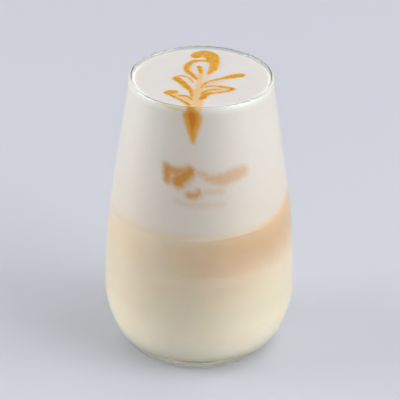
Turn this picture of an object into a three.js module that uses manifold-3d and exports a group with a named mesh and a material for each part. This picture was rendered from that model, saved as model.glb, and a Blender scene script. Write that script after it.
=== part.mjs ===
// A three-layer latte in a clear stemless tumbler: cold milk below, coffee and milk in the middle and milk foam
// on top, with a leaf drawn in caramel sauce on the foam. Millimetres, +Z up, -Y to the front, where the stem of
// the leaf points, and the origin at the centre of the glass's foot.
import * as THREE from "three";
import { mergeVertices } from "three/addons/utils/BufferGeometryUtils.js";
import Module from "manifold-3d";

const wasm = await Module();
wasm.setup();

// The glass: it stands on a flat ring, swells to its belly low down and narrows steadily to the rim.
const glassHeight = 120;
const rimRadius = 29;
const rimWall = 1.6;
const rimSlope = 0.139; // how far the wall leans in, for each millimetre of height
const bellyRadius = 39.1;
const bellyHeight = 26;
const bellyWall = 1.9;
const footRadius = 27.2;
const footRingInner = 21;
const punt = 0.9; // how far the middle of the underside is pushed up
const floorHeight = 5.5; // top of the thick bottom
const floorRadius = 22;

// How far each curve of the glass's outline keeps its first direction before it bends.
const bellyUpwards = 31.5;
const rimDownwards = 50;
const footOutwards = 4.5;
const footUpwards = 0.3;
const bellyDownwards = 11.6;
const floorOutwards = 9;
const innerBellyDownwards = 12;
const puntInwards = 5;

// The drink fills the glass up to a rounded shoulder just under the rim.
const wallGap = 0.2; // free space left between the drink and the wall
const layerGap = 0.1;
const milkTop = 45.6;
const coffeeTop = 64;
const foamContact = 117.2; // where the foam leaves the wall
const foamShoulder = 119.2;
const foamCrown = 119.35;
const shoulderWidth = 1.9;
const shoulderLean = 0.1; // how little the shoulder leans in where it leaves the wall

// The two layer lines aren't quite level: each leans and ripples by a millimetre or so.
const coffeeLine = { lean: 0.9, leanTowards: -0.2, ripple: 0.45, ripples: 5, rippleTurn: 0.61 };
const milkLine = { lean: 0.6, leanTowards: 2.6, ripple: 0.5, ripples: 3, rippleTurn: 0.3 };
const lineClearance = 1.5; // no other ring of a layer's side lies this close to its line

// Sauce strokes stand a little proud of the foam and are sunk into it by more.
const sauceRise = 0.4;
const sauceSunk = 0.7;

const segments = 56;
const wallSteps = 9;
const bowlSteps = 8;
const rimSteps = 4;
const strokeSides = 6;
const strokeStepsPerMm = 0.75;
const fewestStrokeSteps = 6;
const undersideSteps = 3;
const shoulderSteps = 5;
const crownSteps = 4;
const faceRingShares = [0.5, 0.8]; // rings of a flat face, as shares of its radius
const besideWall = 0.99; // a point further out than this share of the radius stands at the wall
const weldDistance = 1e-4;

const glassMaterial = new THREE.MeshStandardMaterial({
  color: 0xe6efec, roughness: 0.03, metalness: 0, transparent: true, opacity: 0.35,
});
const milkMaterial = new THREE.MeshStandardMaterial({ color: 0xe6dcc0, roughness: 0.35, metalness: 0 });
const coffeeMaterial = new THREE.MeshStandardMaterial({ color: 0xd3ac7e, roughness: 0.35, metalness: 0 });
const foamMaterial = new THREE.MeshStandardMaterial({ color: 0xf4efe8, roughness: 0.6, metalness: 0 });

// Half outlines of the glass, as [radius, height]: a wall that leans in, and a bowl that turns under.
const at = (radius, height) => new THREE.Vector2(radius, height);
const outerWall = new THREE.CubicBezierCurve(
  at(bellyRadius, bellyHeight),
  at(bellyRadius, bellyHeight + bellyUpwards),
  at(rimRadius + rimSlope * rimDownwards, glassHeight - rimDownwards),
  at(rimRadius, glassHeight - rimWall / 2),
);
const outerBowl = new THREE.CubicBezierCurve(
  at(footRadius, 0),
  at(footRadius + footOutwards, footUpwards),
  at(bellyRadius, bellyHeight - bellyDownwards),
  at(bellyRadius, bellyHeight),
);
const innerBelly = bellyRadius - bellyWall;
const innerWall = new THREE.CubicBezierCurve(
  at(innerBelly, bellyHeight),
  at(innerBelly, bellyHeight + bellyUpwards),
  at(rimRadius - rimWall + rimSlope * rimDownwards, glassHeight - rimDownwards),
  at(rimRadius - rimWall, glassHeight - rimWall / 2),
);
const innerBowl = new THREE.CubicBezierCurve(
  at(floorRadius, floorHeight),
  at(floorRadius + floorOutwards, floorHeight),
  at(innerBelly, bellyHeight - innerBellyDownwards),
  at(innerBelly, bellyHeight),
);

// A solid of revolution about the Z axis, from an outline that runs from the axis below round to the axis above.
function turned(outline) {
  return new THREE.LatheGeometry(outline, segments).rotateX(Math.PI / 2);
}

function glassGeometry() {
  const rim = new THREE.EllipseCurve(
    rimRadius - rimWall / 2, glassHeight - rimWall / 2, rimWall / 2, rimWall / 2, 0, Math.PI, false,
  );
  const underside = new THREE.QuadraticBezierCurve(
    at(0, punt),
    at(footRingInner - puntInwards, punt),
    at(footRingInner, 0),
  );
  return turned([
    ...underside.getPoints(undersideSteps),
    ...outerBowl.getPoints(bowlSteps),
    ...outerWall.getPoints(wallSteps).slice(1),
    ...rim.getPoints(rimSteps).slice(1),
    ...innerWall.getPoints(wallSteps).reverse().slice(1),
    ...innerBowl.getPoints(bowlSteps).reverse().slice(1),
    at(0, floorHeight),
  ]);
}

// The outline of the space inside the glass, shrunk by the gap that the drink keeps to it.
const fillOutline = [...innerBowl.getPoints(bowlSteps), ...innerWall.getPoints(wallSteps).slice(1)].map(
  (p) => at(p.x - wallGap, p.y + wallGap * Math.max(0, 1 - p.y / bellyHeight)),
);

function fillRadius(height) {
  const above = Math.max(1, fillOutline.findIndex((p) => p.y > height));
  const low = fillOutline[above - 1];
  const high = fillOutline[above];
  return low.x + ((high.x - low.x) * (height - low.y)) / (high.y - low.y);
}

// The part of the fill outline between two heights, with points of its own at both.
function fillBetween(bottom, top) {
  return [
    at(fillRadius(bottom), bottom),
    ...fillOutline.filter((p) => p.y > bottom + lineClearance && p.y < top - lineClearance),
    at(fillRadius(top), top),
  ];
}

function lineOffset(line, angle) {
  return (
    line.lean * Math.cos(angle - line.leanTowards) +
    line.ripple * Math.sin(line.ripples * angle + line.rippleTurn)
  );
}

// Moves the points of a layer's bottom or top face on to its uneven line, and keeps those at the wall beside it.
function unevenFace(geometry, height, line) {
  const points = geometry.getAttribute("position");
  for (let i = 0; i < points.count; i++) {
    const [x, y, z] = [points.getX(i), points.getY(i), points.getZ(i)];
    if (Math.abs(z - height) > layerGap / 2) continue;
    const radius = Math.hypot(x, y);
    const share = radius / fillRadius(height);
    const moved = z + lineOffset(line, Math.atan2(y, x)) * share;
    const scale = share > besideWall ? fillRadius(moved) / radius : 1;
    points.setXYZ(i, x * scale, y * scale, moved);
  }
  return geometry;
}

// Rings inside a flat face, so that its uneven edge is met gradually.
function faceRings(height) {
  const edge = fillRadius(height);
  return [at(0, height), ...faceRingShares.map((share) => at(edge * share, height))];
}

function milkGeometry() {
  const outline = [
    at(0, floorHeight + wallGap),
    ...fillBetween(floorHeight + wallGap, milkTop),
    ...faceRings(milkTop).reverse(),
  ];
  return unevenFace(turned(outline), milkTop, milkLine);
}

function coffeeGeometry() {
  const bottom = milkTop + layerGap;
  const outline = [...faceRings(bottom), ...fillBetween(bottom, coffeeTop), ...faceRings(coffeeTop).reverse()];
  return unevenFace(unevenFace(turned(outline), bottom, milkLine), coffeeTop, coffeeLine);
}

function foamGeometry() {
  const bottom = coffeeTop + layerGap;
  const edge = fillRadius(foamContact);
  const shoulder = new THREE.QuadraticBezierCurve(
    at(edge, foamContact),
    at(edge - shoulderLean, foamShoulder),
    at(edge - shoulderWidth, foamShoulder),
  );
  const crown = new THREE.QuadraticBezierCurve(
    at(edge - shoulderWidth, foamShoulder),
    at(edge / 2, foamCrown),
    at(0, foamCrown),
  );
  const outline = [
    ...faceRings(bottom),
    ...fillBetween(bottom, foamContact),
    ...shoulder.getPoints(shoulderSteps).slice(1),
    ...crown.getPoints(crownSteps).slice(1),
  ];
  return unevenFace(turned(outline), bottom, coffeeLine);
}

// The sauce figure, seen from above with -Y to the front: a stem with two pairs of leaves, and a bud inside a
// heart at its head. Each stroke is [x, y] points on the foam and widths spread evenly along it.
const sauceFigure = [
  {
    path: [[-2.2, 20.3], [0.2, 21.8], [2.8, 21.2], [4.6, 17.8], [5, 12.7], [4.5, 7.6], [3, 3.6]],
    widths: [4.6, 6.4, 6, 4.4, 3.7, 3.1, 1.4],
  },
  {
    path: [[4.2, 15], [-0.8, 15.4], [-4.2, 13.8], [-5.9, 10], [-5.6, 5.7], [-3.9, 2.6], [-1.8, -1.4]],
    widths: [1.8, 1.6, 2.3, 2.7, 2.3, 2.1, 1.4],
  },
  { path: [[-1, 9.8], [-0.4, 7], [-0.1, 3.6]], widths: [1.8, 2.2, 1.1] },
  {
    path: [[-0.4, 2.2], [-0.7, -4], [-1.3, -12], [-1.9, -19], [-2.6, -25.2]],
    widths: [2, 2.8, 3.6, 4.4, 4.8],
  },
  {
    path: [[15.8, 2.3], [13, 1.3], [8.2, -1.1], [4, -3.2], [1.4, -5.8], [0.2, -9]],
    widths: [3.2, 3.2, 1.6, 1.3, 1.1, 0.9],
  },
  { path: [[12.8, -10.1], [10, -9], [7, -8.1], [4, -7.9], [1.4, -9]], widths: [1.4, 1.8, 1.1, 0.8, 0.8] },
  {
    path: [[12.6, -10.5], [11, -11.9], [8, -13.3], [4.2, -14.3], [2, -15.8], [0.4, -18.6]],
    widths: [1.3, 1.1, 1, 1.4, 2.4, 2.6],
  },
  { path: [[7.4, -10.9], [4.2, -11.2], [2, -12.4], [0.2, -15]], widths: [0.8, 0.9, 1.3, 1.2] },
  { path: [[-10, -1.4], [-8, -4], [-6.1, -8.2], [-4.2, -12], [-3.6, -17]], widths: [3.1, 2.8, 2.9, 1.5, 1] },
  { path: [[-10.2, 0], [-8.8, 1.1], [-7, 0.9], [-4.8, -1], [-3.2, -4.8]], widths: [0.9, 0.8, 0.8, 0.8] },
  { path: [[-14.2, -14], [-12.2, -13.5], [-10.2, -13.2]], widths: [1.3, 3.2, 2.2] },
  {
    path: [[-14.2, -14.4], [-12.4, -15.9], [-9.4, -18.9], [-6.9, -21.8], [-4.6, -24.6]],
    widths: [0.8, 0.9, 1.2, 1.5, 1.4],
  },
  { path: [[-9.2, -16.9], [-7.3, -16.7], [-5.3, -17.5], [-3.6, -20]], widths: [0.8, 1.2, 1.1, 0.9] },
];

// The width at a share of the way along a stroke, between the widths that are spread evenly along it.
function widthAt(widths, share) {
  const place = share * (widths.length - 1);
  const before = Math.min(Math.floor(place), widths.length - 2);
  return THREE.MathUtils.lerp(widths[before], widths[before + 1], place - before);
}

// A stroke of sauce: rings along a smooth path, drawn to a point at both ends within half the stroke's width.
function strokeGeometry({ path, widths }) {
  const curve = new THREE.CatmullRomCurve3(path.map(([x, y]) => new THREE.Vector3(x, y, foamShoulder)));
  const length = curve.getLength();
  const steps = Math.max(fewestStrokeSteps, Math.round(length * strokeStepsPerMm));
  const vertices = [];
  const triangles = [];
  for (let i = 0; i <= steps; i++) {
    const share = i / steps;
    const centre = curve.getPointAt(share);
    const tangent = curve.getTangentAt(share);
    const width = widthAt(widths, share);
    const fromEnd = Math.min(share, 1 - share) * length;
    const taper = Math.sqrt(1 - Math.max(0, 1 - fromEnd / (width / 2)) ** 2);
    if (i === 0 || i === steps) {
      vertices.push(centre.x, centre.y, centre.z);
      continue;
    }
    for (let k = 0; k < strokeSides; k++) {
      const turn = ((k + 0.5) / strokeSides) * 2 * Math.PI;
      const across = (Math.cos(turn) * width * taper) / 2;
      const reach = Math.sin(turn) > 0 ? sauceRise : sauceSunk;
      const up = Math.sin(turn) * reach * taper;
      vertices.push(centre.x + tangent.y * across, centre.y - tangent.x * across, centre.z + up);
    }
  }
  const last = vertices.length / 3 - 1;
  const ring = (i, k) => 1 + (i - 1) * strokeSides + (k % strokeSides);
  for (let k = 0; k < strokeSides; k++) {
    triangles.push(0, ring(1, k), ring(1, k + 1));
    for (let i = 1; i < steps - 1; i++) {
      triangles.push(ring(i, k), ring(i + 1, k + 1), ring(i, k + 1));
      triangles.push(ring(i, k), ring(i + 1, k), ring(i + 1, k + 1));
    }
    triangles.push(last, ring(steps - 1, k + 1), ring(steps - 1, k));
  }
  return new THREE.BufferGeometry()
    .setAttribute("position", new THREE.Float32BufferAttribute(vertices, 3))
    .setIndex(triangles);
}

function solidOf(geometry) {
  const bare = geometry.clone();
  bare.deleteAttribute("normal");
  bare.deleteAttribute("uv");
  const merged = mergeVertices(bare, weldDistance);
  return new wasm.Manifold(
    new wasm.Mesh({
      numProp: 3,
      vertProperties: new Float32Array(merged.getAttribute("position").array),
      triVerts: new Uint32Array(merged.index.array),
    }),
  );
}

function geometryOf(solid) {
  const { vertProperties, triVerts } = solid.getMesh();
  const geometry = new THREE.BufferGeometry()
    .setAttribute("position", new THREE.BufferAttribute(vertProperties, 3))
    .setIndex(new THREE.BufferAttribute(triVerts, 1));
  geometry.computeVertexNormals();
  return geometry;
}

// The foam with the sauce figure standing on it.
function foamWithSauce() {
  let solid = solidOf(foamGeometry());
  for (const stroke of sauceFigure) solid = solid.add(solidOf(strokeGeometry(stroke)));
  return geometryOf(solid);
}

function piece(name, geometry, material) {
  const mesh = new THREE.Mesh(geometry, material);
  mesh.name = name;
  return mesh;
}

const latte = new THREE.Group();
latte.name = "latte";
latte.add(
  piece("glass", glassGeometry(), glassMaterial),
  piece("milk_layer", milkGeometry(), milkMaterial),
  piece("coffee_layer", coffeeGeometry(), coffeeMaterial),
  piece("foam_layer", foamWithSauce(), foamMaterial),
);

export default latte;
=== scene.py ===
import math

import bpy
import numpy as np
from mathutils import Matrix, Vector


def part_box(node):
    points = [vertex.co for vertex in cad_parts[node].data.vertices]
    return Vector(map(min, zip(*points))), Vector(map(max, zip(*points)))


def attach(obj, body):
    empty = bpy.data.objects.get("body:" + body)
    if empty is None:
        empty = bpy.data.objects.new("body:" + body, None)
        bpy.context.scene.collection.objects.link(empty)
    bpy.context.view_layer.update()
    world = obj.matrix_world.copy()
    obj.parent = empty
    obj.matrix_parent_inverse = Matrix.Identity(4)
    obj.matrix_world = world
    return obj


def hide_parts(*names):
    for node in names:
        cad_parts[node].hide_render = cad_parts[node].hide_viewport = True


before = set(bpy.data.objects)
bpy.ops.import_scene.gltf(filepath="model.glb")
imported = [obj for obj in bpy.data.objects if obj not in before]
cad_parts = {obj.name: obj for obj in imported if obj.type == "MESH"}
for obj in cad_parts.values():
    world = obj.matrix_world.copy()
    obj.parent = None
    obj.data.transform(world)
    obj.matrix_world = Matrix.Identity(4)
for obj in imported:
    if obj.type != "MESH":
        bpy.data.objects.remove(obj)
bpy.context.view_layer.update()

MM = 0.001
glass_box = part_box("glass")

# The tumbler's driving sizes. Its height and belly come from the frame.
GLASS_HEIGHT = glass_box[1].z / MM
BELLY_RADIUS = glass_box[1].x / MM
BELLY_HEIGHT = 26.0
BELLY_WALL = 1.9
INNER_BELLY = BELLY_RADIUS - BELLY_WALL
RIM_RADIUS = 29.0
RIM_WALL = 1.6
RIM_SLOPE = 0.139  # how far the wall leans in at the rim, for each millimetre of height
FOOT_RADIUS = 27.2
FOOT_RING_INNER = 21.0
PUNT = 0.9  # how far the middle of the underside is pushed up
FLOOR_HEIGHT = 5.5
FLOOR_RADIUS = 22.0

# How far each curve of the tumbler's outline keeps its first direction before it bends
BELLY_UPWARDS = 31.5
RIM_DOWNWARDS = 50.0
FOOT_OUTWARDS = 4.5
FOOT_UPWARDS = 0.3
BELLY_DOWNWARDS = 11.6
FLOOR_OUTWARDS = 9.0
INNER_BELLY_DOWNWARDS = 12.0
PUNT_OUTWARDS = 12.0
PUNT_INWARDS = 5.0

# The drink reaches a little way into the wall, so that no air shows between them.
WALL_REACH = 0.08
BOWL_REACH = WALL_REACH * 0.7  # outwards and downwards, where the bowl slants
MILK_TOP = 45.6
COFFEE_TOP = 64.0
FOAM_CONTACT = 117.2  # where the foam leaves the wall
FOAM_SHOULDER = 119.2
FOAM_CROWN = 119.35
SHOULDER_WIDTH = 1.9
SHOULDER_LEAN = 0.1  # how far in the shoulder first heads
SHOULDER_LEVEL = 0.9  # how far in it begins to run level
LAYER_GAP = 0.02

# The two layer lines lean and ripple as the solids' lines do.
COFFEE_LINE = {"lean": 0.9, "lean_towards": -0.2, "ripple": 0.45, "ripples": 5, "turn": 0.61}
MILK_LINE = {"lean": 0.6, "lean_towards": 2.6, "ripple": 0.5, "ripples": 3, "turn": 0.3}
LINE_REACH = 6.0  # how far from a layer line its waves are still felt

# How finely the pieces are divided: steps along a curve, or millimetres between the rings of a wall
SEGMENTS = 256
FOAM_SEGMENTS = 400
BOWL_STEPS = 48
WALL_STEPS = 60
RIM_STEPS = 14
UNDERSIDE_STEPS = 16
MILK_FLOOR_STEPS = 6
SHOULDER_STEPS = 10
CROWN_STEPS = 105
FILL_BOWL_STEPS = 200
FILL_WALL_STEPS = 300
MILK_BOWL_EVERY = 4  # the milk's bowl takes one in so many of the fill's points
MILK_RING_STEP = 1.0
COFFEE_RING_STEP = 0.8
FOAM_RING_STEP = 0.55
FLOOR_RINGS = (8.0, 16.0)
FACE_SHARES = (0, 0.3, 0.6, 0.85, 0.97)  # rings of a level face, as shares of its radius
CRISP_ANGLE = 50.0  # degrees between two faces at which their edge is drawn sharp
WELD_DISTANCE = 1e-6

# The sauce
SAUCE_RISE = 0.4
SAUCE_FOOT = 0.25  # how far outside a stroke the foam begins to rise
SAUCE_FLANK = 0.9  # how far in from there the stroke has its full height
STROKE_STEP = 0.25
STROKE_REACH = 4.0  # how far from a stroke its colour is worked out
OUTSIDE = -9.0  # a depth that stands for far outside every stroke
FRONT_END = 70.0  # degrees round from +X at which the colours on the wall end, behind the right side
WALL_SAUCE_DEPTH = 0.5  # how far in from the wall the sauce on it is still full
WALL_SAUCE_FADE = 1.5  # how fast it thins out further in
DRIP_THINS = 0.9  # how fast the drip thins upwards over the foam's shoulder
DRIP_THINS_BELOW = 0.6  # how far below the shoulder that begins


def linear(code):
    """An sRGB hex colour as linear red, green, blue and alpha."""
    parts = [int(code[i : i + 2], 16) / 255 for i in (0, 2, 4)]
    return [*(p / 12.92 if p <= 0.04045 else ((p + 0.055) / 1.055) ** 2.4 for p in parts), 1.0]


def node(tree, kind, links=None, **settings):
    """Adds a node with its settings. links gives each input a value, or the output that feeds it."""
    made = tree.nodes.new(kind)
    for name, value in settings.items():
        setattr(made, name, value)
    for key, value in (links or {}).items():
        if isinstance(value, bpy.types.NodeSocket):
            tree.links.new(value, made.inputs[key])
        else:
            made.inputs[key].default_value = value
    return made


# Outlines of the turned pieces


def bezier(start, start_handle, end_handle, end, steps):
    """Points on a curve that leaves its start and comes to its end in the directions of the two handles."""
    t = np.linspace(0, 1, steps + 1)[:, None]
    a, b, c, d = (np.array(p, float) for p in (start, start_handle, end_handle, end))
    return (1 - t) ** 3 * a + 3 * (1 - t) ** 2 * t * b + 3 * (1 - t) * t**2 * c + t**3 * d


def wall_line(belly_radius, rim_radius, steps):
    """A wall of the glass from the belly to the rim, as [radius, height]."""
    return bezier(
        (belly_radius, BELLY_HEIGHT),
        (belly_radius, BELLY_HEIGHT + BELLY_UPWARDS),
        (rim_radius + RIM_SLOPE * RIM_DOWNWARDS, GLASS_HEIGHT - RIM_DOWNWARDS),
        (rim_radius, GLASS_HEIGHT - RIM_WALL / 2),
        steps,
    )


def inner_line(bowl_steps, wall_steps):
    """The inside of the glass from its floor to the rim."""
    bowl = bezier(
        (FLOOR_RADIUS, FLOOR_HEIGHT),
        (FLOOR_RADIUS + FLOOR_OUTWARDS, FLOOR_HEIGHT),
        (INNER_BELLY, BELLY_HEIGHT - INNER_BELLY_DOWNWARDS),
        (INNER_BELLY, BELLY_HEIGHT),
        bowl_steps,
    )
    return np.vstack([bowl, wall_line(INNER_BELLY, RIM_RADIUS - RIM_WALL, wall_steps)[1:]])


def glass_outline():
    underside = bezier(
        (0, PUNT),
        (PUNT_OUTWARDS, PUNT),
        (FOOT_RING_INNER - PUNT_INWARDS, PUNT),
        (FOOT_RING_INNER, 0),
        UNDERSIDE_STEPS,
    )
    outer_bowl = bezier(
        (FOOT_RADIUS, 0),
        (FOOT_RADIUS + FOOT_OUTWARDS, FOOT_UPWARDS),
        (BELLY_RADIUS, BELLY_HEIGHT - BELLY_DOWNWARDS),
        (BELLY_RADIUS, BELLY_HEIGHT),
        BOWL_STEPS,
    )
    outer_wall = wall_line(BELLY_RADIUS, RIM_RADIUS, WALL_STEPS)
    turn = np.linspace(0, math.pi, RIM_STEPS + 1)[1:-1]
    rim_middle = np.array([RIM_RADIUS - RIM_WALL / 2, GLASS_HEIGHT - RIM_WALL / 2])
    rim = rim_middle + RIM_WALL / 2 * np.column_stack([np.cos(turn), np.sin(turn)])
    inside = inner_line(BOWL_STEPS, WALL_STEPS)[::-1]
    floor_rings = [(radius, FLOOR_HEIGHT) for radius in (*FLOOR_RINGS[::-1], 0)]
    return np.vstack([underside, outer_bowl, outer_wall[1:], rim, inside, floor_rings])


FILL = inner_line(FILL_BOWL_STEPS, FILL_WALL_STEPS)


def fill_radius(height):
    """The drink's radius at a height: the inside of the glass and a little more."""
    return np.interp(height, FILL[:, 1], FILL[:, 0]) + WALL_REACH


def side(low, high, step):
    """The drink's side between two heights, as rows of [radius, height] about a step apart."""
    heights = np.linspace(low, high, max(2, round((high - low) / step) + 1))
    return np.column_stack([fill_radius(heights), heights])


def flat(height, outwards):
    """Rings of a level face, from the axis to just inside the wall or back."""
    rings = np.array([(fill_radius(height) * share, height) for share in FACE_SHARES])
    return rings if outwards else rings[::-1]


def milk_outline():
    bottom = FLOOR_HEIGHT - WALL_REACH
    inner, outer = FLOOR_RINGS
    floor_face = bezier((0, bottom), (inner, bottom), (outer, bottom), (FLOOR_RADIUS, bottom), MILK_FLOOR_STEPS)
    bowl = FILL[MILK_BOWL_EVERY:FILL_BOWL_STEPS:MILK_BOWL_EVERY] + [BOWL_REACH, -BOWL_REACH]
    wall = side(BELLY_HEIGHT, MILK_TOP, MILK_RING_STEP)
    return np.vstack([floor_face, bowl, wall, flat(MILK_TOP, False)])


def coffee_outline():
    bottom = MILK_TOP + LAYER_GAP
    wall = side(bottom, COFFEE_TOP, COFFEE_RING_STEP)
    return np.vstack([flat(bottom, True), wall, flat(COFFEE_TOP, False)])


def foam_outline():
    bottom = COFFEE_TOP + LAYER_GAP
    edge = fill_radius(FOAM_CONTACT)
    inner = edge - SHOULDER_WIDTH
    wall = side(bottom, FOAM_CONTACT, FOAM_RING_STEP)
    shoulder = bezier(
        (edge, FOAM_CONTACT),
        (edge - SHOULDER_LEAN, FOAM_SHOULDER),
        (edge - SHOULDER_LEVEL, FOAM_SHOULDER),
        (inner, FOAM_SHOULDER),
        SHOULDER_STEPS,
    )
    radii = np.linspace(inner, 0, CROWN_STEPS + 1)[1:]
    crown = np.column_stack([radii, FOAM_SHOULDER + (FOAM_CROWN - FOAM_SHOULDER) * (1 - (radii / inner) ** 2)])
    return np.vstack([flat(bottom, True), wall, shoulder[1:], crown])


def turning_tree():
    """Geometry nodes that turn an outline of points round the Z axis, close it and give it its material."""
    tree = bpy.data.node_groups.new("turned_outline", "GeometryNodeTree")
    inputs = {"Outline": "Geometry", "Segments": "Int", "Crisp Angle": "Float", "Finish": "Material"}
    for name, kind in inputs.items():
        tree.interface.new_socket(name, in_out="INPUT", socket_type="NodeSocket" + kind)
    tree.interface.new_socket("Piece", in_out="OUTPUT", socket_type="NodeSocketGeometry")
    given = node(tree, "NodeGroupInput").outputs
    # A grid with a row for each point of the outline and a column for each step round
    size = node(tree, "GeometryNodeAttributeDomainSize", {"Geometry": given["Outline"]})
    rows = size.outputs["Point Count"]
    columns = node(tree, "FunctionNodeIntegerMath", {0: given["Segments"], 1: 1}, operation="ADD").outputs[0]
    grid = node(tree, "GeometryNodeMeshGrid", {"Vertices X": columns, "Vertices Y": rows}).outputs["Mesh"]
    index = node(tree, "GeometryNodeInputIndex").outputs["Index"]
    row = node(tree, "FunctionNodeIntegerMath", {0: index, 1: rows}, operation="MODULO").outputs[0]
    column = node(tree, "FunctionNodeIntegerMath", {0: index, 1: rows}, operation="DIVIDE_FLOOR").outputs[0]
    # Each of its points goes to the outline's point, turned by its column's share of a full turn.
    place = node(tree, "GeometryNodeInputPosition").outputs["Position"]
    point = node(
        tree,
        "GeometryNodeSampleIndex",
        {"Geometry": given["Outline"], "Value": place, "Index": row},
        data_type="FLOAT_VECTOR",
        domain="POINT",
    )
    share = node(tree, "ShaderNodeMath", {0: column, 1: given["Segments"]}, operation="DIVIDE").outputs[0]
    angle = node(tree, "ShaderNodeMath", {0: share, 1: math.tau}, operation="MULTIPLY").outputs[0]
    turned = node(
        tree, "ShaderNodeVectorRotate", {"Vector": point.outputs[0], "Angle": angle}, rotation_type="Z_AXIS"
    )
    shaped = node(tree, "GeometryNodeSetPosition", {"Geometry": grid, "Position": turned.outputs["Vector"]})
    # The seam and the poles are welded, and only the edges that fold sharply are left crisp.
    closed = node(
        tree,
        "GeometryNodeMergeByDistance",
        {"Geometry": shaped.outputs["Geometry"], "Distance": WELD_DISTANCE},
    )
    fold = node(tree, "GeometryNodeInputMeshEdgeAngle").outputs["Unsigned Angle"]
    soft = node(
        tree,
        "FunctionNodeCompare",
        {0: fold, 1: given["Crisp Angle"]},
        data_type="FLOAT",
        operation="LESS_THAN",
    )
    smooth = node(
        tree,
        "GeometryNodeSetShadeSmooth",
        {"Geometry": closed.outputs["Geometry"], "Shade Smooth": soft.outputs["Result"]},
        domain="EDGE",
    )
    real = node(tree, "GeometryNodeRealizeInstances", {"Geometry": smooth.outputs["Geometry"]})
    finished = node(
        tree, "GeometryNodeSetMaterial", {"Geometry": real.outputs["Geometry"], "Material": given["Finish"]}
    )
    node(tree, "NodeGroupOutput", {"Piece": finished.outputs["Geometry"]})
    return tree


TURNING = turning_tree()
TURNING_INPUTS = {
    item.name: item.identifier for item in TURNING.interface.items_tree if item.in_out == "INPUT"
}


def turned_piece(name, outline, segments, material):
    """A closed piece of revolution from an outline in millimetres that starts and ends on the axis."""
    mesh = bpy.data.meshes.new(name + "_outline")
    mesh.from_pydata([(r * MM, 0, z * MM) for r, z in outline], [], [])
    piece = bpy.data.objects.new(name, mesh)
    bpy.context.scene.collection.objects.link(piece)
    modifier = piece.modifiers.new("turn", "NODES")
    modifier.node_group = TURNING
    modifier[TURNING_INPUTS["Segments"]] = segments
    modifier[TURNING_INPUTS["Crisp Angle"]] = math.radians(CRISP_ANGLE)
    modifier[TURNING_INPUTS["Finish"]] = material
    depsgraph = bpy.context.evaluated_depsgraph_get()
    made = bpy.data.meshes.new_from_object(piece.evaluated_get(depsgraph))
    piece.modifiers.clear()
    piece.data = made
    made.name = name
    return piece


# Shapes that aren't quite round


def points_of(piece):
    """The mesh's points in millimetres, as an array."""
    points = np.empty(len(piece.data.vertices) * 3)
    piece.data.vertices.foreach_get("co", points)
    return points.reshape(-1, 3) / MM


def set_points(piece, points):
    piece.data.vertices.foreach_set("co", (points * MM).ravel())
    piece.data.update()


def set_attribute(piece, name, values):
    """Stores one number for each point, for the material to read."""
    attribute = piece.data.attributes.new(name, "FLOAT", "POINT")
    attribute.data.foreach_set("value", np.asarray(values, np.float32))


def line_offset(line, angle):
    return line["lean"] * np.cos(angle - line["lean_towards"]) + line["ripple"] * np.sin(
        line["ripples"] * angle + line["turn"]
    )


def keep_distance(piece, heights):
    """Stores how far each point lies above or below the nearest of a layer's level faces."""
    points = points_of(piece)
    set_attribute(piece, "from_line", np.min([np.abs(points[:, 2] - height) for height in heights], axis=0))


def follow_line(piece, height, line):
    """Moves what lies near a layer line on to its waves, along the wall."""
    points = points_of(piece)
    radius = np.hypot(points[:, 0], points[:, 1])
    angle = np.arctan2(points[:, 1], points[:, 0])
    edge = fill_radius(points[:, 2])
    near = np.clip(1 - np.abs(points[:, 2] - height) / LINE_REACH, 0, 1)
    moved = points[:, 2] + line_offset(line, angle) * near * np.clip(radius / edge, 0, 1)
    scale = fill_radius(moved) / edge
    points[:, :2] *= scale[:, None]
    points[:, 2] = moved
    set_points(piece, points)


# The sauce. Each stroke is a smooth path with widths spread evenly along it, all in millimetres: on the foam as
# seen from above, and on the wall as degrees round from +X and height.


def smooth_path(path):
    """Points about STROKE_STEP apart on a smooth curve through the path's points."""
    knots = np.array(path, float)
    if len(knots) == 2:
        knots = np.linspace(knots[0], knots[1], 3)
    padded = np.vstack([2 * knots[0] - knots[1], knots, 2 * knots[-1] - knots[-2]])
    made = []
    for i in range(1, len(padded) - 2):
        before, start, end, after = padded[i - 1 : i + 3]
        count = max(2, int(np.linalg.norm(end - start) / STROKE_STEP))
        t = np.linspace(0, 1, count, endpoint=False)[:, None]
        made.append(
            0.5
            * (
                2 * start
                + (end - before) * t
                + (2 * before - 5 * start + 4 * end - after) * t**2
                + (3 * start - before - 3 * end + after) * t**3
            )
        )
    return np.vstack([*made, knots[-1:]])


def inside_strokes(places, strokes):
    """For each place, how far inside the nearest stroke it lies, less than 0 outside, and its tone there."""
    depth = np.full(len(places), OUTSIDE)
    tone = np.zeros(len(places))
    for stroke in strokes:
        path = smooth_path(stroke["path"])
        widths = stroke["widths"]
        half_widths = np.interp(np.linspace(0, len(widths) - 1, len(path)), range(len(widths)), widths) / 2
        reach = np.max(half_widths) + STROKE_REACH
        near = np.all((places > path.min(0) - reach) & (places < path.max(0) + reach), axis=1)
        offsets = places[near][:, None, :] - path[None, :, :]
        here = np.max(half_widths[None, :] - np.linalg.norm(offsets, axis=2), axis=1)
        better = here > depth[near]
        chosen = np.flatnonzero(near)[better]
        depth[chosen] = here[better]
        tone[chosen] = stroke.get("tone", 0)
    return depth, tone


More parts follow.
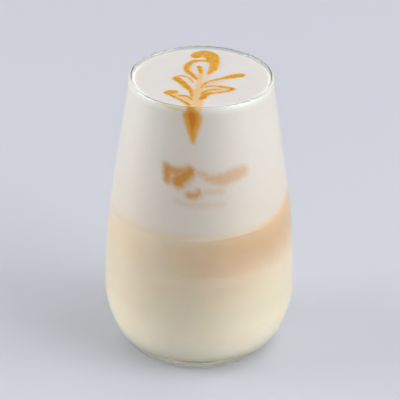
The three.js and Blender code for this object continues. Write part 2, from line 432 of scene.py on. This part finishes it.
# The figure: a stem with leaves in pairs, and a bud inside a heart at its head. tone goes from pale to dark.
SAUCE_LINES = [
    {
        "path": [(-2.2, 20.3), (0.2, 21.8), (2.8, 21.2), (4.6, 17.8), (5, 12.7), (4.5, 7.6), (3, 3.6)],
        "widths": (4.6, 6.4, 6, 4.4, 3.7, 3.1, 1.4),
        "tone": 0.5,
    },
    {
        "path": [(4.2, 15), (-0.8, 15.4), (-4.2, 13.8), (-5.9, 10), (-5.6, 5.7), (-3.9, 2.6), (-1.8, -1.4)],
        "widths": (1.8, 1.6, 2.3, 2.7, 2.3, 2.1, 1.4),
        "tone": 0.7,
    },
    {
        "path": [(-1, 9.8), (-0.4, 7), (-0.1, 3.6)],
        "widths": (1.8, 2.2, 1.1),
        "tone": 0.6,
    },
    {
        "path": [(15.8, 2.3), (13, 1.3), (8.2, -1.1), (4, -3.2), (1.4, -5.8), (0.2, -9)],
        "widths": (3.2, 3.2, 1.6, 1.3, 1.1, 0.9),
        "tone": 0.7,
    },
    {
        "path": [(12.8, -10.1), (10, -9), (7, -8.1), (4, -7.9), (1.4, -9)],
        "widths": (1.4, 1.8, 1.1, 0.8, 0.8),
        "tone": 0.6,
    },
    {
        "path": [(12.6, -10.5), (11, -11.9), (8, -13.3), (4.2, -14.3), (2, -15.8), (0.4, -18.6)],
        "widths": (1.3, 1.1, 1, 1.4, 2.4, 2.6),
        "tone": 0.75,
    },
    {
        "path": [(7.4, -10.9), (4.2, -11.2), (2, -12.4), (0.2, -15)],
        "widths": (0.8, 0.9, 1.3, 1.2),
        "tone": 0.75,
    },
    {
        "path": [(-10, -1.4), (-8, -4), (-6.1, -8.2), (-4.2, -12), (-3.6, -17)],
        "widths": (3.1, 2.8, 2.9, 1.5, 1),
        "tone": 0.75,
    },
    {
        "path": [(-10.2, 0), (-8.8, 1.1), (-7, 0.9), (-4.8, -1), (-3.2, -4.8)],
        "widths": (0.9, 0.8, 0.8, 0.8),
        "tone": 0.35,
    },
    {
        "path": [(-14.2, -14), (-12.2, -13.5), (-10.2, -13.2)],
        "widths": (1.3, 3.2, 2.2),
        "tone": 0.6,
    },
    {
        "path": [(-14.2, -14.4), (-12.4, -15.9), (-9.4, -18.9), (-6.9, -21.8), (-4.6, -24.6)],
        "widths": (0.8, 0.9, 1.2, 1.5, 1.4),
        "tone": 0.75,
    },
    {
        "path": [(-9.2, -16.9), (-7.3, -16.7), (-5.3, -17.5), (-3.6, -20)],
        "widths": (0.8, 1.2, 1.1, 0.9),
        "tone": 0.8,
    },
]
# Thin sauce that has spread into the foam, in the stem and inside the leaves
SAUCE_WASHES = [
    {
        "path": [(-0.2, 4), (-0.5, -4), (-1.1, -12), (-1.7, -19), (-2.4, -25.6), (-2.8, -27.6)],
        "widths": (1.8, 2.8, 3.6, 4.8, 5.4, 5.4),
        "tone": 1.0,
    },
    {
        "path": [(-13.6, -15), (-9.4, -16.4), (-6.2, -19), (-3.8, -22.5)],
        "widths": (1.2, 3.6, 4.2, 4.2),
        "tone": 0.85,
    },
    {"path": [(11.5, -10.8), (7, -10.8), (3.2, -12), (1.2, -15)], "widths": (1.2, 3.4, 3.6, 3), "tone": 0.8},
    {"path": [(9, -3.6), (5, -5.4), (2, -8)], "widths": (1.2, 3, 3), "tone": 0.5},
    {"path": [(3.6, 3.5), (1.6, 0), (0.2, -3)], "widths": (1.4, 2.6, 3), "tone": 0.55},
    {"path": [(-7.6, -1.8), (-5.4, -5), (-3.2, -10)], "widths": (1.2, 2.6, 2.4), "tone": 0.2},
    {"path": [(-4.4, 8.6), (-3.6, 5), (-1.8, 2)], "widths": (1.2, 1.6, 1.6), "tone": 0.35},
]
# Sauce between the foam and the wall, at the front, and a faint smear of it on the foam's shoulder
DRIP = [
    {"path": [(-97.0, 119.4), (-96.9, 115), (-96.5, 110), (-95.8, 105.6)], "widths": (6.6, 6.2, 3.4, 0.7)},
]
SMEAR = [
    {"path": [(-122, 118.9), (-113, 118.6), (-104, 118.6)], "widths": (0.4, 1.4, 2.0)},
]
# Coffee that creeps up between the foam and the wall, at the right
CREEP = [
    {
        "path": [(-52, 63), (-28, 64.2), (-6, 66), (16, 67), (36, 65.4), (54, 63)],
        "widths": (1, 5, 9, 10, 6, 1),
    },
]
# Coffee streaked through the foam near the wall, at the front
BLOTCHES = [
    {"path": [(-114.3, 93.6), (-113.6, 88.6)], "widths": (3.2, 2.4), "tone": 1.0},
    {"path": [(-113.6, 93.6), (-106, 92.9), (-97.6, 93.8)], "widths": (2.6, 2.8), "tone": 0.9},
    {"path": [(-97.3, 93.4), (-101.5, 91), (-106.0, 88.6)], "widths": (3.8, 4.8), "tone": 1.0},
    {"path": [(-111, 92.4), (-104, 91.4)], "widths": (2.6, 2.6), "tone": 0.9},
    {"path": [(-96.5, 93.2), (-89.0, 92.6), (-83.5, 91)], "widths": (1.6, 2.4), "tone": 0.45},
    {
        "path": [(-84, 90.6), (-75, 89.8), (-66, 91.0), (-58.5, 91.8)],
        "widths": (2.8, 4.4, 4.6, 4.2),
        "tone": 0.55,
    },
    {"path": [(-97, 83.4), (-93.5, 83.4), (-90, 85)], "widths": (2.2, 1.6), "tone": 0.9},
    {"path": [(-89.5, 85), (-82, 84.8), (-75, 84.9)], "widths": (1.3, 1.5), "tone": 0.3},
    {"path": [(-106, 80.4), (-92, 79.2), (-75, 79.4)], "widths": (1.2, 1.6), "tone": 0.22},
]


def on_wall(strokes):
    """Strokes with their degrees turned to millimetres round the wall."""
    turned = []
    for stroke in strokes:
        path = [(math.radians(a) * fill_radius(min(z, FOAM_CONTACT)), z) for a, z in stroke["path"]]
        turned.append({**stroke, "path": path})
    return turned


def dress_foam(piece):
    """Raises the sauce figure on the foam, and stores for the material where sauce and coffee colour it."""
    points = points_of(piece)
    above_line = points[:, 2] - COFFEE_TOP
    on_top = points[:, 2] > FOAM_CONTACT
    figure, tone = inside_strokes(points[:, :2], SAUCE_LINES)
    wash, wash_tone = inside_strokes(points[:, :2], SAUCE_WASHES)
    figure[~on_top] = OUTSIDE
    wash[~on_top] = OUTSIDE
    rise = np.clip((figure + SAUCE_FOOT) / SAUCE_FLANK, 0, 1)
    points[:, 2] += SAUCE_RISE * rise * rise * (3 - 2 * rise)

    # The colours on the wall fade out within a millimetre or two of it.
    angle = np.arctan2(points[:, 1], points[:, 0])
    radius = np.hypot(points[:, 0], points[:, 1])
    front = angle < math.radians(FRONT_END)
    round_wall = np.column_stack([angle * radius, points[:, 2]])
    from_wall = fill_radius(np.minimum(points[:, 2], FOAM_CONTACT)) - radius
    fade = np.where(front, np.maximum(0, from_wall - WALL_SAUCE_DEPTH) * WALL_SAUCE_FADE, -OUTSIDE)
    thin_at_rim = np.maximum(0, points[:, 2] - FOAM_CONTACT + DRIP_THINS_BELOW) * DRIP_THINS
    blotch, blotch_tone = inside_strokes(round_wall, on_wall(BLOTCHES))
    set_points(piece, points)
    stored = {
        "sauce_depth": figure,
        "sauce_tone": tone,
        "wash_depth": wash,
        "wash_tone": wash_tone,
        "drip_depth": inside_strokes(round_wall, on_wall(DRIP))[0] - fade - thin_at_rim,
        "smear_depth": inside_strokes(round_wall, on_wall(SMEAR))[0] - fade,
        "creep_depth": inside_strokes(round_wall, on_wall(CREEP))[0] - fade,
        "blotch_depth": blotch - fade,
        "blotch_tone": blotch_tone,
        "above_line": above_line,
        "from_top": points[:, 2] - FOAM_CONTACT,
    }
    for name, values in stored.items():
        set_attribute(piece, name, values)


# Materials


def new_material(name):
    material = bpy.data.materials.new(name)
    material.use_nodes = True
    material.node_tree.nodes.clear()
    return material, material.node_tree


GLASS_TINT_PER_METRE = 6.0
LIP_SHADE_PER_METRE = 120.0  # painted shade: the lip, where the glass is seen edge on, is darkened far beyond the glass's own tint
LIP_DEPTHS = (3.5, 1.2)  # how far below the top the lip's painted shade begins and is full
BOTTOM_HEIGHTS = (3.0, 12.0)  # where the thick bottom dims the lamps' light, and where it no longer does


def soda_lime_glass():
    """Pressed and fire-polished soda-lime glass: clear, very smooth, and grey-green where it is seen edge on,
    with painted shade darkening its lip.

    Rays towards the lamps pass straight through it, so that the drink is lit as if the wall were thin."""
    material, tree = new_material("fire_polished_soda_lime_glass")
    clear = node(
        tree,
        "ShaderNodeBsdfGlass",
        {"Color": linear("FAFCFB"), "Roughness": 0.0, "IOR": 1.52},
        distribution="GGX",
    )
    place = node(tree, "ShaderNodeTexCoord").outputs["Object"]
    height = node(tree, "ShaderNodeSeparateXYZ", {0: place}).outputs["Z"]
    above_foot = node(
        tree,
        "ShaderNodeMapRange",
        {"Value": height, "From Min": BOTTOM_HEIGHTS[0] * MM, "From Max": BOTTOM_HEIGHTS[1] * MM},
    ).outputs["Result"]
    let_through = node(
        tree, "ShaderNodeMix", {0: above_foot, 6: linear("706C60"), 7: linear("FAFAF9")}, data_type="RGBA"
    ).outputs[2]
    open_to_lamps = node(tree, "ShaderNodeBsdfTransparent", {"Color": let_through})
    shadow = node(tree, "ShaderNodeLightPath").outputs["Is Shadow Ray"]
    mixed = node(
        tree, "ShaderNodeMixShader", {0: shadow, 1: clear.outputs["BSDF"], 2: open_to_lamps.outputs["BSDF"]}
    )
    # Painted shade: the absorption rises steeply in the lip, far beyond the glass's own tint
    tint_and_lip_shade = node(
        tree,
        "ShaderNodeMapRange",
        {
            "Value": height,
            "From Min": (GLASS_HEIGHT - LIP_DEPTHS[0]) * MM,
            "From Max": (GLASS_HEIGHT - LIP_DEPTHS[1]) * MM,
            "To Min": GLASS_TINT_PER_METRE,
            "To Max": LIP_SHADE_PER_METRE,
        },
    ).outputs["Result"]
    depths = node(tree, "ShaderNodeVolumeAbsorption", {"Color": linear("CDD8CF"), "Density": tint_and_lip_shade})
    node(
        tree,
        "ShaderNodeOutputMaterial",
        {"Surface": mixed.outputs["Shader"], "Volume": depths.outputs["Volume"]},
    )
    return material


def away_from_line(tree):
    """Rises from 0 at a layer line to 1 a few millimetres away from it."""
    from_line = node(tree, "ShaderNodeAttribute", attribute_name="from_line").outputs["Fac"]
    return node(
        tree,
        "ShaderNodeMapRange",
        {"Value": from_line, "From Min": 0.5, "From Max": 3.5},
        interpolation_type="SMOOTHSTEP",
    ).outputs["Result"]


MILK_COLOUR = "E4DAC6"
# Painted light: the milk's foot is painted in this paler colour
PAINTED_LIGHT_MILK_COLOUR = "EFE6D5"
COFFEE_COLOUR = "D8BEA0"
SWIRL_SIZE = 16.0
SWIRL_UP = 8.0  # how far a swirl carries the coffee up or down
SWIRL_ACROSS = 14.0  # how far it carries it sideways
COFFEE_LEAN = -0.17  # the coffee begins higher to the right, by this for each millimetre
COFFEE_HEIGHTS = (29.0, 57.0)  # where the coffee begins, and where it is full
COFFEE_SIDES = (-25.0, 22.0)  # from left to right, how far its strength changes
COFFEE_STRENGTHS = (0.36, 1.25)
# Painted light at the milk's foot: the height where it begins, and the height where it is full
PAINTED_LIGHT_HEIGHTS = (30.0, 7.0)
# Painted glow: how strongly the milk's foot gives out light of its own
PAINTED_FOOT_GLOW = 0.15


def milky_coffee(name):
    """Milk with coffee poured over it: cloudy liquids that let light wander through them and that blend.

    The coffee is stronger at the right, and thins out downwards over nearly three centimetres with slow swirls.
    The milk is painted paler towards its foot and made to glow there, as painted light. One recipe serves both
    layers, so that nothing shows between them."""
    material, tree = new_material(name)
    place = node(tree, "ShaderNodeTexCoord").outputs["Object"]
    in_mm = node(tree, "ShaderNodeVectorMath", {0: place, "Scale": 1 / MM}, operation="SCALE").outputs["Vector"]
    xyz = node(tree, "ShaderNodeSeparateXYZ", {0: in_mm}).outputs
    swirl = node(
        tree, "ShaderNodeTexNoise", {"Vector": in_mm, "Scale": 1 / SWIRL_SIZE, "Detail": 4.0, "Distortion": 0.6}
    ).outputs["Fac"]
    centred = node(tree, "ShaderNodeMath", {0: swirl, 1: 0.5}, operation="SUBTRACT").outputs[0]
    leaning = node(
        tree, "ShaderNodeMath", {0: xyz["X"], 1: COFFEE_LEAN, 2: xyz["Z"]}, operation="MULTIPLY_ADD"
    ).outputs[0]
    swirled = node(
        tree, "ShaderNodeMath", {0: centred, 1: SWIRL_UP, 2: leaning}, operation="MULTIPLY_ADD"
    ).outputs[0]
    depth = node(
        tree,
        "ShaderNodeMapRange",
        {"Value": swirled, "From Min": COFFEE_HEIGHTS[0], "From Max": COFFEE_HEIGHTS[1]},
        interpolation_type="SMOOTHSTEP",
    ).outputs["Result"]
    sideways = node(
        tree, "ShaderNodeMath", {0: centred, 1: SWIRL_ACROSS, 2: xyz["X"]}, operation="MULTIPLY_ADD"
    ).outputs[0]
    strength = node(
        tree,
        "ShaderNodeMapRange",
        {
            "Value": sideways,
            "From Min": COFFEE_SIDES[0],
            "From Max": COFFEE_SIDES[1],
            "To Min": COFFEE_STRENGTHS[0],
            "To Max": COFFEE_STRENGTHS[1],
        },
        interpolation_type="SMOOTHSTEP",
    ).outputs["Result"]
    coffee_share = node(tree, "ShaderNodeMath", {0: depth, 1: strength}, operation="MULTIPLY").outputs[0]
    # Painted light: towards its foot the milk is painted paler and made to glow
    painted_foot_light = node(
        tree,
        "ShaderNodeMapRange",
        {"Value": xyz["Z"], "From Min": PAINTED_LIGHT_HEIGHTS[0], "From Max": PAINTED_LIGHT_HEIGHTS[1]},
    ).outputs["Result"]
    # Painted light: a glow at the milk's foot, standing in for light that wanders down through the milk
    glow = node(tree, "ShaderNodeMath", {0: painted_foot_light, 1: PAINTED_FOOT_GLOW}, operation="MULTIPLY").outputs[0]
    milk = node(
        tree, "ShaderNodeMix", {0: painted_foot_light, 6: linear(MILK_COLOUR), 7: linear(PAINTED_LIGHT_MILK_COLOUR)}, data_type="RGBA"
    ).outputs[2]
    colour = node(
        tree,
        "ShaderNodeMix",
        {0: coffee_share, 6: milk, 7: linear(COFFEE_COLOUR)},
        data_type="RGBA",
        clamp_factor=False,
    ).outputs[2]
    body = node(
        tree,
        "ShaderNodeBsdfPrincipled",
        {
            "Base Color": colour,
            "Roughness": 0.35,
            "IOR": 1.34,
            "Specular IOR Level": 0.1,
            "Emission Color": colour,
            "Emission Strength": glow,
            "Subsurface Weight": away_from_line(tree),
            "Subsurface Radius": (1.0, 0.72, 0.45),
            "Subsurface Scale": 3.5 * MM,
        },
        subsurface_method="RANDOM_WALK",
    )
    node(tree, "ShaderNodeOutputMaterial", {"Surface": body.outputs["BSDF"]})
    return material


FOAM_COLOUR = "EEEAE7"
FOAM_SHADE = "E9E4E0"
WET_FOAM_COLOUR = "DCD6D0"
RAGGED_SIZE = 1.6  # of the waves in the colours' edges
CLOUD_SIZE = 7.0  # of the slow changes in the foam's colour and in the level of its top
BUBBLE_SIZE = 0.6
TONE_SWING = 2.0  # how much the sauce changes between pale and dark along a stroke

# Layers of colour on the foam, from the lowest: the depth attribute that says where, the depths at which the
# colour begins and is full, how ragged its edge is, how strong it is or the attribute that says so, its pale
# and dark colours, and how much it keeps light from wandering on into the foam
STAINS = [
    # Foam that is wet where it touches the glass
    ("from_top", 1.2, -1.5, 0.0, 1.0, WET_FOAM_COLOUR, WET_FOAM_COLOUR, 0.0),
    # Coffee drawn up into the lower foam, first faintly and then more
    ("above_line", 34.0, 0.0, 2.0, 0.12, "DFC3A3", "DFC3A3", 0.0),
    ("above_line", 4.6, -0.6, 3.0, 1.0, "DECBB2", "DECBB2", 0.0),
    # Coffee between the foam and the glass
    ("creep_depth", -3.8, 3.4, 3.0, 0.85, "DDB083", "DDB083", 0.2),
    ("blotch_depth", -2.2, 1.6, 1.6, "blotch_tone", "CE9236", "CE9236", 0.3),
    # Thin sauce, and the thicker sauce of the drip and its core
    ("wash_depth", -0.9, 0.7, 0.6, "wash_tone", "F3CD93", "F3CD93", 0.3),
    ("smear_depth", -0.9, 0.6, 0.5, 0.5, "DDBB74", "DDBB74", 0.0),
    ("drip_depth", -1.4, 0.6, 1.2, 1.0, "DCA22C", "DCA22C", 0.75),
    ("drip_depth", 0.7, 2.4, 1.0, 1.0, "CE7402", "CE7402", 0.9),
    # The figure, with a pale edge where it bleeds into the foam
    ("sauce_depth", -0.8, 0.1, 0.5, 0.7, "F4CA80", "F4CA80", 0.0),
    ("sauce_depth", -0.3, 0.35, 0.7, 1.0, "F4B82A", "DA9206", 0.92),
]


def foam_material():
    """Dense milk foam with caramel sauce on it: matt, nearly white and finely bubbled, with amber strokes that
    are smoother, let less light wander through them and bleed a little at their edges."""
    material, tree = new_material("milk_foam_with_caramel_sauce")
    place = node(tree, "ShaderNodeTexCoord").outputs["Object"]
    in_mm = node(tree, "ShaderNodeVectorMath", {0: place, "Scale": 1 / MM}, operation="SCALE").outputs["Vector"]
    ragged = node(
        tree, "ShaderNodeTexNoise", {"Vector": in_mm, "Scale": 1 / RAGGED_SIZE, "Detail": 3.0}
    ).outputs["Fac"]
    centred = node(tree, "ShaderNodeMath", {0: ragged, 1: 0.5}, operation="SUBTRACT").outputs[0]
    clouds = node(
        tree, "ShaderNodeTexNoise", {"Vector": in_mm, "Scale": 1 / CLOUD_SIZE, "Detail": 4.0}
    ).outputs["Fac"]
    colour = node(
        tree, "ShaderNodeMix", {0: clouds, 6: linear(FOAM_SHADE), 7: linear(FOAM_COLOUR)}, data_type="RGBA"
    ).outputs[2]
    wandering = away_from_line(tree)
    for name, start, full, raggedness, strength, pale, dark, thickness in STAINS:
        depth = node(tree, "ShaderNodeAttribute", attribute_name=name).outputs["Fac"]
        edge = node(
            tree, "ShaderNodeMath", {0: centred, 1: raggedness, 2: depth}, operation="MULTIPLY_ADD"
        ).outputs[0]
        cover = node(
            tree,
            "ShaderNodeMapRange",
            {"Value": edge, "From Min": start, "From Max": full},
            interpolation_type="SMOOTHSTEP",
        ).outputs["Result"]
        if isinstance(strength, str):
            strength = node(tree, "ShaderNodeAttribute", attribute_name=strength).outputs["Fac"]
        cover = node(tree, "ShaderNodeMath", {0: cover, 1: strength}, operation="MULTIPLY").outputs[0]
        stain = linear(dark)
        if pale != dark:
            tone = node(tree, "ShaderNodeAttribute", attribute_name="sauce_tone").outputs["Fac"]
            uneven = node(
                tree, "ShaderNodeMath", {0: centred, 1: TONE_SWING, 2: tone}, operation="MULTIPLY_ADD"
            ).outputs[0]
            stain = node(
                tree, "ShaderNodeMix", {0: uneven, 6: linear(pale), 7: linear(dark)}, data_type="RGBA"
            ).outputs[2]
        colour = node(tree, "ShaderNodeMix", {0: cover, 6: colour, 7: stain}, data_type="RGBA").outputs[2]
        passed = node(
            tree, "ShaderNodeMath", {0: cover, 1: -thickness, 2: 1.0}, operation="MULTIPLY_ADD"
        ).outputs[0]
        wandering = node(tree, "ShaderNodeMath", {0: wandering, 1: passed}, operation="MULTIPLY").outputs[0]
    # The last layer is the figure, whose sauce is smoother than the foam.
    roughness = node(
        tree, "ShaderNodeMapRange", {"Value": cover, "To Min": 0.5, "To Max": 0.25}
    ).outputs["Result"]
    # Bare foam scatters some light at its surface, and sauce or foam pressed to the glass hardly any.
    shine = node(
        tree, "ShaderNodeMapRange", {"Value": wandering, "To Min": 0.08, "To Max": 0.3}
    ).outputs["Result"]
    # Fine bubbles, and a top that isn't quite level
    cells = node(
        tree, "ShaderNodeTexVoronoi", {"Vector": in_mm, "Scale": 1 / BUBBLE_SIZE}
    ).outputs["Distance"]
    bubbles = node(
        tree, "ShaderNodeBump", {"Strength": 0.25, "Distance": 0.06 * MM, "Height": cells}, invert=True
    ).outputs["Normal"]
    uneven_top = node(
        tree, "ShaderNodeBump", {"Strength": 0.3, "Distance": 0.3 * MM, "Height": clouds, "Normal": bubbles}
    ).outputs["Normal"]
    body = node(
        tree,
        "ShaderNodeBsdfPrincipled",
        {
            "Base Color": colour,
            "Roughness": roughness,
            "Normal": uneven_top,
            "Specular IOR Level": shine,
            "Subsurface Weight": wandering,
            "Subsurface Radius": (1.0, 0.8, 0.6),
            "Subsurface Scale": 2.5 * MM,
        },
        subsurface_method="RANDOM_WALK",
    )
    node(tree, "ShaderNodeOutputMaterial", {"Surface": body.outputs["BSDF"]})
    return material


def floor_material():
    """A pale blue-grey painted sweep, quite matt."""
    material, tree = new_material("matt_painted_sweep")
    body = node(tree, "ShaderNodeBsdfPrincipled", {"Base Color": linear("D5D8E3"), "Roughness": 0.7})
    node(tree, "ShaderNodeOutputMaterial", {"Surface": body.outputs["BSDF"]})
    return material


# The pieces

tumbler = turned_piece("tumbler", glass_outline(), SEGMENTS, soda_lime_glass())
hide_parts("glass")
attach(tumbler, "root")

milk = turned_piece("milk", milk_outline(), SEGMENTS, milky_coffee("cold_milk"))
keep_distance(milk, [MILK_TOP])
follow_line(milk, MILK_TOP, MILK_LINE)
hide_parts("milk_layer")
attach(milk, "root")

coffee = turned_piece("coffee", coffee_outline(), SEGMENTS, milky_coffee("milky_coffee"))
keep_distance(coffee, [MILK_TOP, COFFEE_TOP])
follow_line(coffee, MILK_TOP, MILK_LINE)
follow_line(coffee, COFFEE_TOP, COFFEE_LINE)
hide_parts("coffee_layer")
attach(coffee, "root")

foam = turned_piece("foam", foam_outline(), FOAM_SEGMENTS, foam_material())
keep_distance(foam, [COFFEE_TOP])
dress_foam(foam)
follow_line(foam, COFFEE_TOP, COFFEE_LINE)
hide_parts("foam_layer")
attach(foam, "root")


# The floor, the lamps and the camera, all in metres

FLOOR_HALF = 6.0
LAMP_DISTANCE = 1.2
LAMP_AIM = Vector((0, 0, 0.06))
LAMP_EDGE = 0.5  # the share of a lamp's width from its middle at which its light has faded out
LAMP_FULL = 0.3  # the share inside which it is full
SURROUNDINGS = 0.36

# The camera of the photograph, worked out from the glass's edges in its frame of 400 by 400
CAMERA_ELEVATION = math.radians(28.583)
CAMERA_DISTANCE = 1.05
CAMERA_ROLL = math.radians(0.678)
CAMERA_TARGET = Vector((0, 0, 0.0636))
CAMERA_CLIPS = (0.05, 50)
FRAME_PIXELS = 400
FOCAL_PIXELS = 2564.15
SENSOR_WIDTH = 36.0


def floor():
    mesh = bpy.data.meshes.new("floor")
    corners = [(x * FLOOR_HALF, y * FLOOR_HALF, 0) for x, y in ((-1, -1), (1, -1), (1, 1), (-1, 1))]
    mesh.from_pydata(corners, [], [(0, 1, 2, 3)])
    mesh.materials.append(floor_material())
    made = bpy.data.objects.new("floor", mesh)
    bpy.context.scene.collection.objects.link(made)


def softbox(name, azimuth, elevation, size, power):
    """A soft white rectangular lamp aimed at the middle of the glass, whose light fades out towards its edges.

    azimuth is in degrees from the front towards the right, and elevation is above the floor."""
    turn, rise = math.radians(azimuth), math.radians(elevation)
    away = Vector((math.sin(turn) * math.cos(rise), -math.cos(turn) * math.cos(rise), math.sin(rise)))
    lamp = bpy.data.lights.new(name, "AREA")
    lamp.shape = "RECTANGLE"
    lamp.size, lamp.size_y = size
    lamp.energy = power
    made = bpy.data.objects.new(name, lamp)
    made.location = LAMP_AIM + away * LAMP_DISTANCE
    made.rotation_euler = (-away).to_track_quat("-Z", "Y").to_euler()
    made.visible_camera = False
    bpy.context.scene.collection.objects.link(made)
    lamp.use_nodes = True
    tree = lamp.node_tree
    tree.nodes.clear()
    parametric = node(tree, "ShaderNodeNewGeometry").outputs["Parametric"]
    across = node(tree, "ShaderNodeSeparateXYZ", {0: parametric}).outputs
    fades = []
    for axis in ("X", "Y"):
        centred = node(tree, "ShaderNodeMath", {0: across[axis], 1: 0.5}, operation="SUBTRACT").outputs[0]
        distance = node(tree, "ShaderNodeMath", {0: centred}, operation="ABSOLUTE").outputs[0]
        fades.append(
            node(
                tree,
                "ShaderNodeMapRange",
                {"Value": distance, "From Min": LAMP_EDGE, "From Max": LAMP_FULL},
                interpolation_type="SMOOTHSTEP",
            ).outputs["Result"]
        )
    strength = node(tree, "ShaderNodeMath", {0: fades[0], 1: fades[1]}, operation="MULTIPLY").outputs[0]
    glow = node(tree, "ShaderNodeEmission", {"Strength": strength})
    node(tree, "ShaderNodeOutputLight", {"Surface": glow.outputs["Emission"]})


def surroundings():
    """Even white light from all around."""
    world = bpy.data.worlds.new("studio")
    world.use_nodes = True
    world.node_tree.nodes.clear()
    back = node(
        world.node_tree, "ShaderNodeBackground", {"Color": linear("FFFFFF"), "Strength": SURROUNDINGS}
    )
    node(world.node_tree, "ShaderNodeOutputWorld", {"Surface": back.outputs["Background"]})
    bpy.context.scene.world = world


def photo_camera():
    camera = bpy.data.cameras.new("camera")
    camera.sensor_width = SENSOR_WIDTH
    camera.lens = SENSOR_WIDTH * FOCAL_PIXELS / FRAME_PIXELS
    camera.clip_start, camera.clip_end = CAMERA_CLIPS
    made = bpy.data.objects.new("camera", camera)
    back = Vector((0, -math.cos(CAMERA_ELEVATION), math.sin(CAMERA_ELEVATION)))
    aim = (-back).to_track_quat("-Z", "Y").to_matrix().to_4x4()
    place = Matrix.Translation(CAMERA_TARGET + back * CAMERA_DISTANCE)
    made.matrix_world = place @ aim @ Matrix.Rotation(CAMERA_ROLL, 4, "Z")
    bpy.context.scene.collection.objects.link(made)
    bpy.context.scene.camera = made


floor()
softbox("right_key", 67, 20, (1.3, 0.85), 15.5)
softbox("right_high", 90, 68, (0.7, 0.7), 4.6)
softbox("left_low", -92, 14, (1.0, 0.5), 13.6)
softbox("back_low", 180, 14, (1.4, 0.5), 3.6)
surroundings()
photo_camera()
bpy.context.scene.view_settings.view_transform = "Standard"
